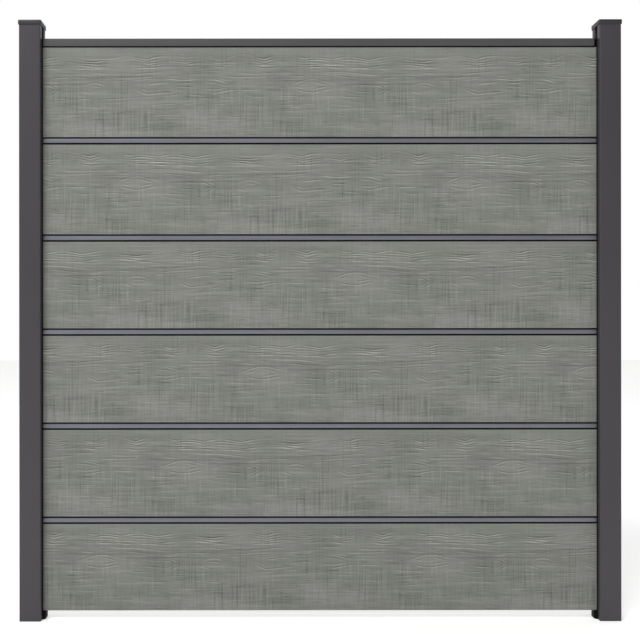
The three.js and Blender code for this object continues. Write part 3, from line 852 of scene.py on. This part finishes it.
def board_mesh(name, node, start, settings):
    """A board: faces with pressed grain, tongue above, groove below and chambers between."""
    low, high = box_mm(node)
    half = (high[1] - low[1]) / 2
    face = high[2] - low[2] - TONGUE_HEIGHT
    count = int((high[0] - low[0]) / GRAIN_STATION) + 1
    along = np.linspace(low[0], high[0], count)
    turn = settings.roller_turn / MM
    depth = settings.grain_depth / MM
    edge = BOARD_EDGE

    def station_rows(points):
        """Fixed points of the section, the same at every station, as (Y, Z, tone)."""
        return [(np.full(count, y), np.full(count, z), np.zeros(count)) for y, z in points]

    section, capped = [], []

    def take(rows, is_capped):
        """Adds rows to the section, and says whether the faces from each row to the next are capped."""
        section.extend(rows)
        capped.extend([is_capped] * len(rows))

    sides = {}
    for sign, turned_by in ((1, REAR_TURN), (-1, 0.0)):
        turns = (along - low[0]) / turn + start + turned_by
        sides[sign] = [
            (sign * (half - depth * pressed), height, tone)
            for height, tone, pressed in face_rows(turns, face)]
    tongue = [
        (TONGUE_HALF, face),
        (TONGUE_HALF, face + TONGUE_HEIGHT - TONGUE_TIP),
        (TONGUE_HALF - TONGUE_TIP, face + TONGUE_HEIGHT),
    ]
    groove = [
        (GROOVE_HALF + edge, 0),
        (GROOVE_HALF, edge),
        (GROOVE_HALF, GROOVE_DEPTH),
    ]
    # where the cap layer ends, the faces from its last row to the next row are bare core, whose near-black
    # colour is partly painted shade in the shadow gaps
    take(station_rows(arc(half - edge, edge, edge, -90, 0, steps=3)), True)
    take(sides[1], True)
    take(station_rows(arc(half - edge, face - edge, edge, 0, 90, steps=3)), True)
    capped[-1] = False
    take(station_rows(tongue), False)
    take(station_rows([(-y, z) for y, z in reversed(tongue)]), False)
    capped[-1] = False
    take(station_rows(arc(edge - half, face - edge, edge, 90, 180, steps=3)), True)
    take(list(reversed(sides[-1])), True)
    take(station_rows(arc(edge - half, edge, edge, 180, 270, steps=3)), True)
    capped[-1] = False
    take(station_rows([(-y, z) for y, z in groove]), False)
    take(station_rows(list(reversed(groove))), False)

    outer = np.empty((count, len(section), 3))
    shade_and_highlight_tones = np.empty((count, len(section)))
    for i, (y, z, tone) in enumerate(section):
        outer[:, i] = np.stack([along, y, low[2] + z], axis=1)
        shade_and_highlight_tones[:, i] = tone

    loops = [outer]
    pitch = (face - GROOVE_DEPTH - BOARD_WALL) / BOARD_CHAMBERS
    inside = half - BOARD_WALL
    for i in range(BOARD_CHAMBERS):
        bottom = low[2] + GROOVE_DEPTH + BOARD_WALL + i * pitch
        chamber = rounded_box(-inside, bottom, inside, bottom + pitch - BOARD_WALL, CHAMBER_RADIUS)
        hole = turned(chamber, clockwise=True)
        stations = [np.hstack([np.full((len(hole), 1), x), hole]) for x in (low[0], high[0])]
        loops.append(np.array(stations))
    mesh = swept_mesh(name, loops)

    kinds = np.full(len(mesh.polygons), CORE_AND_GAP_SHADE_SLOT, np.int32)
    kinds[:(count - 1) * len(section)] = np.tile(np.where(capped, CAP_SLOT, CORE_AND_GAP_SHADE_SLOT), count - 1)
    mesh.polygons.foreach_set("material_index", kinds)

    corners = np.empty(len(mesh.vertices) * 3)
    mesh.vertices.foreach_get("co", corners)
    corners = corners.reshape(-1, 3)
    rear = np.where(corners[:, 1] > 0, REAR_TURN, 0)
    angle = 2 * np.pi * ((corners[:, 0] / MM - low[0]) / turn + start + rear)
    radius = settings.roller_turn / (2 * np.pi)
    on_roller = np.stack([
        radius * np.cos(angle), radius * np.sin(angle), corners[:, 2] - low[2] * MM], axis=1)
    mesh.attributes.new("roller", "FLOAT_VECTOR", "POINT").data.foreach_set(
        "vector", on_roller.astype(np.float32).ravel())
    # each row's tone goes into the grain attribute: painted shade in the pressed grooves and painted
    # highlights on their lips
    grain = np.zeros(len(mesh.vertices), np.float32)
    grain[:shade_and_highlight_tones.size] = shade_and_highlight_tones.ravel()
    mesh.attributes.new("grain", "FLOAT", "POINT").data.foreach_set("value", grain)
    return smoothed(mesh)


class SCREEN_OT_boards(bpy.types.Operator):
    """Builds the six embossed composite boards"""

    bl_idname = "privacy_screen.boards"
    bl_label = "Boards"

    def execute(self, context):
        settings = context.scene.screen_boards
        cap = capped_composite("Capped wood-plastic composite, embossed grey", settings)
        core_and_joint_shade = bare_composite("Bare wood-plastic composite, darkened as painted gap shade", settings.core_and_gap_shade_colour)
        for node, start in zip(BOARDS, ROLLER_STARTS):
            mesh = board_mesh(f"{node}_finished", node, start, settings)
            finished(f"{node}_finished", mesh, "screen", [node], [cap, core_and_joint_shade])
        return {"FINISHED"}


# ---------------------------------------------------------------- joint strips
def strip_section(low, half):
    """Two legs below, a face, and a hollow tongue above, with the face's lower edge at low."""
    tip = STRIP_FACE + TONGUE_HEIGHT
    edge, wall, web = STRIP_EDGE, STRIP_WALL, GROOVE_DEPTH
    outline = mirrored([
        (GROOVE_HALF, low + web),
        *arc(GROOVE_HALF + edge, low + 2 * edge, edge, 180, 270, steps=3),
        (GROOVE_HALF + wall, low + edge),
        (GROOVE_HALF + wall, low + web),
        (half - wall, low + web),
        (half - wall, low),
        *arc(half - edge, low + edge, edge, -90, 0, steps=4),
        *arc(half - edge, low + STRIP_FACE - edge, edge, 0, 90, steps=4),
        (half - wall, low + STRIP_FACE),
        (half - wall, low + web + wall),
        (TONGUE_HALF, low + web + wall),
        (TONGUE_HALF, low + tip - TONGUE_TIP),
        (TONGUE_HALF - TONGUE_TIP, low + tip),
    ])
    inside = TONGUE_HALF - wall
    return [outline, rounded_box(-inside, low + web + wall, inside, low + tip - wall, edge)]


class SCREEN_OT_joint_strips(bpy.types.Operator):
    """Builds the metal strips in the boards' joints"""

    bl_idname = "privacy_screen.joint_strips"
    bl_label = "Joint strips"

    def execute(self, context):
        metal = anodised_aluminium("Anodised aluminium, natural", context.scene.screen_metal.strip_colour)
        core_and_joint_shade = powder_coat("Painted joint shade on aluminium, black", JOINT_SHADE_BLACK)
        for node in STRIPS:
            low, high = box_mm(node)
            half = (high[1] - low[1]) / 2
            mesh = extruded_mesh(f"{node}_finished", strip_section(low[2], half), "X", low[0], high[0])
            # painted shade: the faces behind the strip's two outer faces take the black that stands for
            # the joints' shade
            for face in mesh.polygons:  # what lies behind the strip's two outer faces is black
                face.material_index = int(abs(face.center.y) < (half - STRIP_EDGE) * MM)
            finished(f"{node}_finished", mesh, "screen", [node], [metal, core_and_joint_shade])
        return {"FINISHED"}


# ---------------------------------------------------------------- top rail
def rail_section(low, high):
    """An inverted U with a web, and two inner legs that straddle the top board's tongue."""
    half = (high[1] - low[1]) / 2
    bottom, top = low[2], high[2]
    wall, radius = RAIL_WALL, RAIL_CORNER_RADIUS
    web = bottom + RAIL_WEB
    outline = mirrored([
        (GROOVE_HALF, web),
        (GROOVE_HALF, bottom + RAIL_LEG_SETBACK + RAIL_LEG_TIP),
        (GROOVE_HALF + RAIL_LEG_TIP, bottom + RAIL_LEG_SETBACK),
        (GROOVE_HALF + wall, bottom + RAIL_LEG_SETBACK),
        (GROOVE_HALF + wall, web),
        (half - wall, web),
        (half - wall, bottom),
        (half, bottom),
        *arc(half - radius, top - radius, radius, 0, 90, steps=6),
    ])
    inside = half - wall
    return [outline, rounded_box(-inside, web + wall, inside, top - wall, radius / 2)]


class SCREEN_OT_top_rail(bpy.types.Operator):
    """Builds the rail over the top board"""

    bl_idname = "privacy_screen.top_rail"
    bl_label = "Top rail"

    def execute(self, context):
        coat = powder_coat("Powder-coated aluminium, satin grey", context.scene.screen_metal.rail_colour)
        low, high = box_mm("top_rail")
        mesh = extruded_mesh("top_rail_finished", rail_section(low, high), "X", low[0], high[0])
        finished("top_rail_finished", mesh, "screen", ["top_rail"], [coat])
        return {"FINISHED"}


class SCREEN_OT_black_fittings(bpy.types.Operator):
    """Builds the rail's end plugs and the blocks under the lowest board"""

    bl_idname = "privacy_screen.black_fittings"
    bl_label = "End plugs and support blocks"

    def execute(self, context):
        plastic = moulded_plastic(
            "Moulded nylon, eroded black", MOULDED_BLACK, FITTING_ROUGHNESS, gloss=0.12)
        for side in SIDES:
            for kind in ("rail_end_plug", "support_block"):
                node = f"{side}_{kind}"
                mesh = moulded_mesh(f"{node}_finished", node, MOULDED_EDGE)
                finished(f"{node}_finished", mesh, "screen", [node], [plastic])
        return {"FINISHED"}


# ---------------------------------------------------------------- stage
# Places and sizes are in metres.
CAMERA_X = -0.174
CAMERA_HEIGHT = 0.946
VIEW_WIDTH = 2.0243  # what the picture takes in at the posts' front
SENSOR = 36.0  # in millimetres
CAMERA_SHIFT = (0.0856, 0.0037)  # as shares of the picture's width
CAMERA_ROLL = math.radians(-0.045)
KEY_PLACE = (-4.5, -6.5, 9.5)
KEY_SIZE = (5.0, 2.2)
FLOOR_REACH = 20.0
FLOOR_GLOW = 0.43  # the floor shines a little by itself, like a light table
FLOOR_CLOUD = 1 / 1.2  # size of the faint clouds in its tone
FLOOR_TONES = (0.985, 1.0)
BACKDROP_EDGE = 0.15  # the room passes into the backdrop where a direction's Y is within this of 0


class SCREEN_OT_stage(bpy.types.Operator):
    """Builds the pale floor, the soft studio light and the camera"""

    bl_idname = "privacy_screen.stage"
    bl_label = "Stage"

    def execute(self, context):
        settings = context.scene.screen_stage
        scene = context.scene
        scene.view_settings.view_transform = "Standard"

        material, tree, shader = surface("Matt pale floor")
        place = add(tree, "ShaderNodeTexCoord").outputs["Object"]
        tone = spread(tree, noise(tree, place, FLOOR_CLOUD), FLOOR_TONES)
        tree.links.new(scaled(tree, settings.floor_colour, tone), shader.inputs["Base Color"])
        set_values(shader, Roughness=0.9, Emission_Color=(1, 1, 1, 1), Emission_Strength=FLOOR_GLOW)
        mesh = bpy.data.meshes.new("floor")
        reach = FLOOR_REACH
        corners = [(-reach, -reach, 0), (reach, -reach, 0), (reach, reach, 0), (-reach, reach, 0)]
        mesh.from_pydata(corners, [], [(0, 1, 2, 3)])
        mesh.materials.append(material)
        floor = bpy.data.objects.new("floor", mesh)
        scene.collection.objects.link(floor)

        world = bpy.data.worlds.new("White backdrop and dim room")
        world.use_nodes = True
        scene.world = world
        tree = world.node_tree
        direction = add(tree, "ShaderNodeTexCoord").outputs["Generated"]
        depth = add(tree, "ShaderNodeSeparateXYZ", {"Vector": direction}).outputs["Y"]
        levels = (settings.front_ambient, settings.backdrop)
        room = spread(tree, depth, levels, (-BACKDROP_EDGE, BACKDROP_EDGE))
        seen = add(tree, "ShaderNodeLightPath").outputs["Is Camera Ray"]
        strength = add(tree, "ShaderNodeMath", {0: room, 1: seen}, operation="MAXIMUM")
        tree.links.new(strength.outputs["Value"], tree.nodes["Background"].inputs["Strength"])
        tree.nodes["Background"].inputs["Color"].default_value = (1, 1, 1, 1)

        middle = (Vector(CAD_BOX[0]) + Vector(CAD_BOX[1])) / 2
        light = bpy.data.lights.new("key", "AREA")
        light.shape = "RECTANGLE"
        light.size, light.size_y = KEY_SIZE
        light.energy = settings.key_power
        key = bpy.data.objects.new("key", light)
        key.location = KEY_PLACE
        key.rotation_euler = (middle - key.location).to_track_quat("-Z", "Y").to_euler()
        scene.collection.objects.link(key)

        lens = bpy.data.cameras.new("camera")
        lens.sensor_width = SENSOR
        lens.lens = SENSOR * settings.camera_distance / VIEW_WIDTH
        lens.shift_x, lens.shift_y = CAMERA_SHIFT
        camera = bpy.data.objects.new("camera", lens)
        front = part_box("left_post")[0][1]
        camera.location = (CAMERA_X, front - settings.camera_distance, CAMERA_HEIGHT)
        camera.rotation_euler = (math.radians(90), 0, 0)
        camera.rotation_euler.rotate_axis("Z", CAMERA_ROLL)
        scene.collection.objects.link(camera)
        scene.camera = camera
        return {"FINISHED"}


# ---------------------------------------------------------------- panel
class SCREEN_PT_build(bpy.types.Panel):
    """Lists the pieces of the screen and their settings"""

    bl_label = "Privacy Screen"
    bl_idname = "SCREEN_PT_build"
    bl_space_type = "VIEW_3D"
    bl_region_type = "UI"
    bl_category = "Privacy Screen"

    def draw(self, context):
        for group in (context.scene.screen_boards, context.scene.screen_metal, context.scene.screen_stage):
            box = self.layout.box()
            for name in group.__annotations__:
                box.prop(group, name)
        for operator in OPERATORS:
            self.layout.operator(operator.bl_idname)


OPERATORS = (
    SCREEN_OT_stage,
    SCREEN_OT_posts,
    SCREEN_OT_post_caps,
    SCREEN_OT_gaskets,
    SCREEN_OT_boards,
    SCREEN_OT_joint_strips,
    SCREEN_OT_top_rail,
    SCREEN_OT_black_fittings,
)
SETTINGS = {"screen_boards": BoardSettings, "screen_metal": MetalSettings, "screen_stage": StageSettings}


def register():
    """Registers the settings, operators and panel."""
    for name, group in SETTINGS.items():
        bpy.utils.register_class(group)
        setattr(bpy.types.Scene, name, bpy.props.PointerProperty(type=group))
    for item in (*OPERATORS, SCREEN_PT_build):
        bpy.utils.register_class(item)


def unregister():
    """Takes them out again."""
    for item in (SCREEN_PT_build, *reversed(OPERATORS)):
        bpy.utils.unregister_class(item)
    for name, group in SETTINGS.items():
        delattr(bpy.types.Scene, name)
        bpy.utils.unregister_class(group)


def main():
    """Builds the whole screen."""
    register()
    for operator in OPERATORS:
        group, name = operator.bl_idname.split(".")
        getattr(getattr(bpy.ops, group), name)()


if __name__ == "__main__":
    main()
